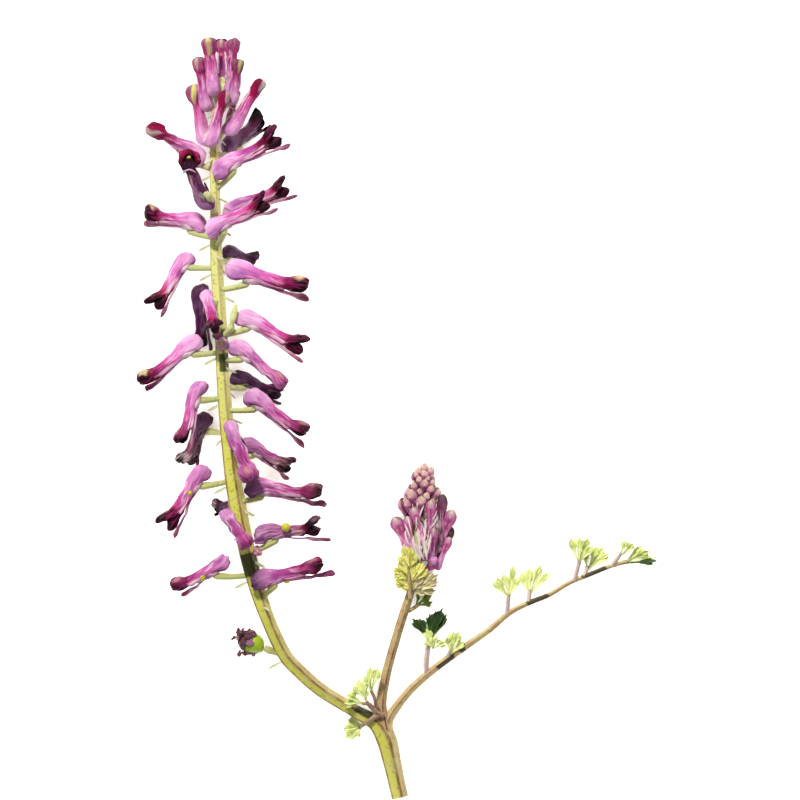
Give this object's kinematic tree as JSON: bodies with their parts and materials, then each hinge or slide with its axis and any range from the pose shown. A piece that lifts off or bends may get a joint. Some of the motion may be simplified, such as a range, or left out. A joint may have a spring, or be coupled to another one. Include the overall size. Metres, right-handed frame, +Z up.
{
  "type": "fumitory sprig",
  "caption": "Cut flowering sprig lying flat: a forked stem with a long loose raceme of spurred tubular flowers, a short head of buds and finely divided leaves.",
  "frame": {"origin": "centre of the bounding box's base, on the surface that the sprig lies on", "axes": "+Y from the cut end of the stem to the tip of the long raceme, +Z up from the surface, +X to the right as the sprig is seen from above"},
  "size_m": [0.0627, 0.0915, 0.0151],
  "materials": {
    "stem_green": "satin",
    "petal_mauve": "satin",
    "shaded_petal": "satin",
    "bud_pink": "satin",
    "young_leaf": "satin",
    "dark_leaf": "satin",
    "fruit_green": "satin",
    "withered_petal": "matte"
  },
  "bodies": {
    "root": {"flower_01": "petal_mauve", "flower_02": "petal_mauve", "flower_03": "petal_mauve", "flower_04": "petal_mauve", "flower_05": "petal_mauve", "flower_06": "petal_mauve", "flower_07": "petal_mauve", "flower_08": "petal_mauve", "flower_09": "petal_mauve", "flower_10": "shaded_petal", "flower_11": "petal_mauve", "flower_12": "shaded_petal", "flower_13": "petal_mauve", "flower_14": "petal_mauve", "flower_15": "petal_mauve", "flower_16": "petal_mauve", "flower_17": "shaded_petal", "flower_18": "petal_mauve", "flower_19": "petal_mauve", "flower_20": "shaded_petal", "flower_21": "petal_mauve", "flower_22": "petal_mauve", "flower_23": "petal_mauve", "flower_24": "petal_mauve", "flower_25": "shaded_petal", "flower_26": "petal_mauve", "flower_27": "petal_mauve", "flower_28": "shaded_petal", "flower_29": "petal_mauve", "flower_30": "petal_mauve", "flower_31": "shaded_petal", "flower_32": "petal_mauve", "flower_33": "petal_mauve", "flower_34": "shaded_petal", "flower_35": "petal_mauve", "flower_36": "petal_mauve", "flower_37": "petal_mauve", "stem": "stem_green", "bud_head": "bud_pink", "long_leaf": "young_leaf", "dark_leaf": "dark_leaf", "stalk_leaflet": "dark_leaf", "fork_leaf": "young_leaf", "fork_leaflet": "young_leaf", "ruff_leaf": "young_leaf", "fruit": "fruit_green", "young_pod": "fruit_green", "withered_flower": "withered_petal"}
  },
  "joints": []
}
